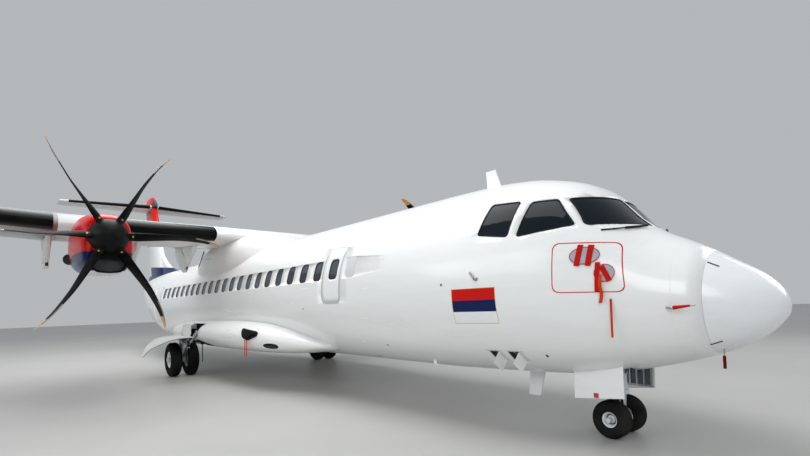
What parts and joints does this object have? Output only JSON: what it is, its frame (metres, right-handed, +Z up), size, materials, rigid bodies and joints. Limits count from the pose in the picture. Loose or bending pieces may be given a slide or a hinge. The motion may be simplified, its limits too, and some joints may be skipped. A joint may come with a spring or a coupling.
{
  "type": "turboprop airliner",
  "caption": "High-wing regional airliner with a T-tail, twin turboprop nacelles with feathered propellers, belly gear fairings, and doors, control surfaces, flaps and wheels that move.",
  "frame": {"origin": "on the ground under the middle of the aircraft's length, on its centreline", "axes": "+X to the nose, +Y to port, +Z up"},
  "size_m": [27.166, 27.05, 7.5],
  "materials": {
    "body_paint": "gloss",
    "radome_paint": "gloss",
    "wing_paint": "satin",
    "tail_paint": "gloss",
    "nacelle_paint": "gloss",
    "engine_casing": "satin",
    "propeller_black": "satin",
    "gear_paint": "satin",
    "wheel_paint": "satin",
    "tyre_rubber": "matte",
    "cockpit_glass": "gloss"
  },
  "bodies": {
    "airframe": {"fuselage": "body_paint", "tail_cone": "body_paint", "wing_fairing": "body_paint", "gear_fairing_left": "body_paint", "gear_fairing_right": "body_paint", "service_door": "body_paint", "exit_left": "body_paint", "exit_right": "body_paint", "stabiliser": "body_paint", "fin_cap": "body_paint", "nose_gear_door_left": "body_paint", "nose_gear_door_right": "body_paint", "main_gear_door_left": "body_paint", "main_gear_door_right": "body_paint", "radome": "radome_paint", "wing_center": "wing_paint", "wing_left": "wing_paint", "wing_right": "wing_paint", "fin": "tail_paint", "nacelle_left": "nacelle_paint", "nacelle_right": "nacelle_paint", "engine_left": "engine_casing", "engine_right": "engine_casing", "exhaust_left": "engine_casing", "exhaust_right": "engine_casing", "nose_leg": "gear_paint", "main_leg_left": "gear_paint", "main_leg_right": "gear_paint", "windshield_left": "cockpit_glass", "windshield_right": "cockpit_glass", "front_side_pane_left": "cockpit_glass", "front_side_pane_right": "cockpit_glass", "rear_side_pane_left": "cockpit_glass", "rear_side_pane_right": "cockpit_glass"},
    "propeller_left": {"propeller_left": "propeller_black"},
    "propeller_right": {"propeller_right": "propeller_black"},
    "nose_steering": {"nose_fork": "gear_paint"},
    "nose_wheels": {"nose_rim_left": "wheel_paint", "nose_rim_right": "wheel_paint", "nose_tyre_left": "tyre_rubber", "nose_tyre_right": "tyre_rubber"},
    "main_wheels_left": {"main_rim_inner_left": "wheel_paint", "main_rim_outer_left": "wheel_paint", "main_tyre_inner_left": "tyre_rubber", "main_tyre_outer_left": "tyre_rubber"},
    "main_wheels_right": {"main_rim_inner_right": "wheel_paint", "main_rim_outer_right": "wheel_paint", "main_tyre_inner_right": "tyre_rubber", "main_tyre_outer_right": "tyre_rubber"},
    "passenger_door": {"passenger_door": "body_paint"},
    "cargo_door": {"cargo_door": "body_paint"},
    "flap_inboard_left": {"flap_inboard_left": "wing_paint"},
    "flap_inboard_right": {"flap_inboard_right": "wing_paint"},
    "flap_outboard_left": {"flap_outboard_left": "wing_paint"},
    "flap_outboard_right": {"flap_outboard_right": "wing_paint"},
    "aileron_left": {"aileron_left": "wing_paint"},
    "aileron_right": {"aileron_right": "wing_paint"},
    "elevator_left": {"elevator_left": "body_paint"},
    "elevator_right": {"elevator_right": "body_paint"},
    "rudder": {"rudder": "tail_paint"}
  },
  "joints": [
    {"name": "propeller_left_turn", "type": "hinge", "parent": "airframe", "child": "propeller_left", "pos_m": [4.285, 4.05, 3.085], "axis": [1, 0, 0], "continuous": true},
    {"name": "propeller_right_turn", "type": "hinge", "parent": "airframe", "child": "propeller_right", "pos_m": [4.285, -4.05, 3.085], "axis": [1, 0, 0], "continuous": true},
    {"name": "nose_steer", "type": "hinge", "parent": "airframe", "child": "nose_steering", "pos_m": [11.883, 0, 0.4], "axis": [0, 0, 1], "range_deg": [-60, 60]},
    {"name": "nose_wheels_roll", "type": "hinge", "parent": "nose_steering", "child": "nose_wheels", "pos_m": [11.834, 0, 0.225], "axis": [0, 1, 0], "continuous": true},
    {"name": "main_wheels_left_roll", "type": "hinge", "parent": "airframe", "child": "main_wheels_left", "pos_m": [1.062, 2.05, 0.432], "axis": [0, 1, 0], "continuous": true},
    {"name": "main_wheels_right_roll", "type": "hinge", "parent": "airframe", "child": "main_wheels_right", "pos_m": [1.062, -2.05, 0.432], "axis": [0, 1, 0], "continuous": true},
    {"name": "passenger_door_swing", "type": "hinge", "parent": "airframe", "child": "passenger_door", "pos_m": [-4.467, 1.232, 1.128], "axis": [-1, 0, 0], "range_deg": [0, 130]},
    {"name": "cargo_door_swing", "type": "hinge", "parent": "airframe", "child": "cargo_door", "pos_m": [9.383, 1.24, 2.706], "axis": [1, 0, 0], "range_deg": [0, 120]},
    {"name": "flap_inboard_left", "type": "hinge", "parent": "airframe", "child": "flap_inboard_left", "pos_m": [0.5803, 1.38, 2.98013], "axis": [0, -1, 0], "range_deg": [0, 35]},
    {"name": "flap_inboard_right", "type": "hinge", "parent": "airframe", "child": "flap_inboard_right", "pos_m": [0.5803, -1.38, 2.98013], "axis": [0, -1, 0], "range_deg": [0, 35]},
    {"name": "flap_outboard_left", "type": "hinge", "parent": "airframe", "child": "flap_outboard_left", "pos_m": [0.58185, 4.705, 2.98255], "axis": [-0.0344, -0.998, -0.0532], "range_deg": [0, 35]},
    {"name": "flap_outboard_right", "type": "hinge", "parent": "airframe", "child": "flap_outboard_right", "pos_m": [0.58185, -4.705, 2.98255], "axis": [0.0344, -0.998, 0.0532], "range_deg": [0, 35]},
    {"name": "aileron_left", "type": "hinge", "parent": "airframe", "child": "aileron_left", "pos_m": [0.72623, 9.26, 3.75176], "axis": [-0.0355, -0.9984, -0.0445], "range_deg": [-14, 14]},
    {"name": "aileron_right", "type": "hinge", "parent": "airframe", "child": "aileron_right", "pos_m": [0.72623, -9.26, 3.75176], "axis": [0.0355, -0.9984, 0.0445], "range_deg": [-14, 14]},
    {"name": "elevator_left", "type": "hinge", "parent": "airframe", "child": "elevator_left", "pos_m": [-12.89361, 0.13, 6.9], "axis": [0.048, -0.9988, 0], "range_deg": [-23, 13]},
    {"name": "elevator_right", "type": "hinge", "parent": "airframe", "child": "elevator_right", "pos_m": [-12.89361, -0.13, 6.9], "axis": [-0.048, -0.9988, 0], "range_deg": [-23, 13]},
    {"name": "rudder_swing", "type": "hinge", "parent": "airframe", "child": "rudder", "pos_m": [-11.57662, 0, 3.46], "axis": [0.2962, 0, -0.9551], "range_deg": [-27, 27]}
  ],
  "couplings": [
    {"joint": "flap_inboard_right", "follows": "flap_inboard_left", "ratio": 1},
    {"joint": "flap_outboard_left", "follows": "flap_inboard_left", "ratio": 1},
    {"joint": "flap_outboard_right", "follows": "flap_inboard_left", "ratio": 1},
    {"joint": "aileron_right", "follows": "aileron_left", "ratio": -1},
    {"joint": "elevator_right", "follows": "elevator_left", "ratio": 1}
  ]
}
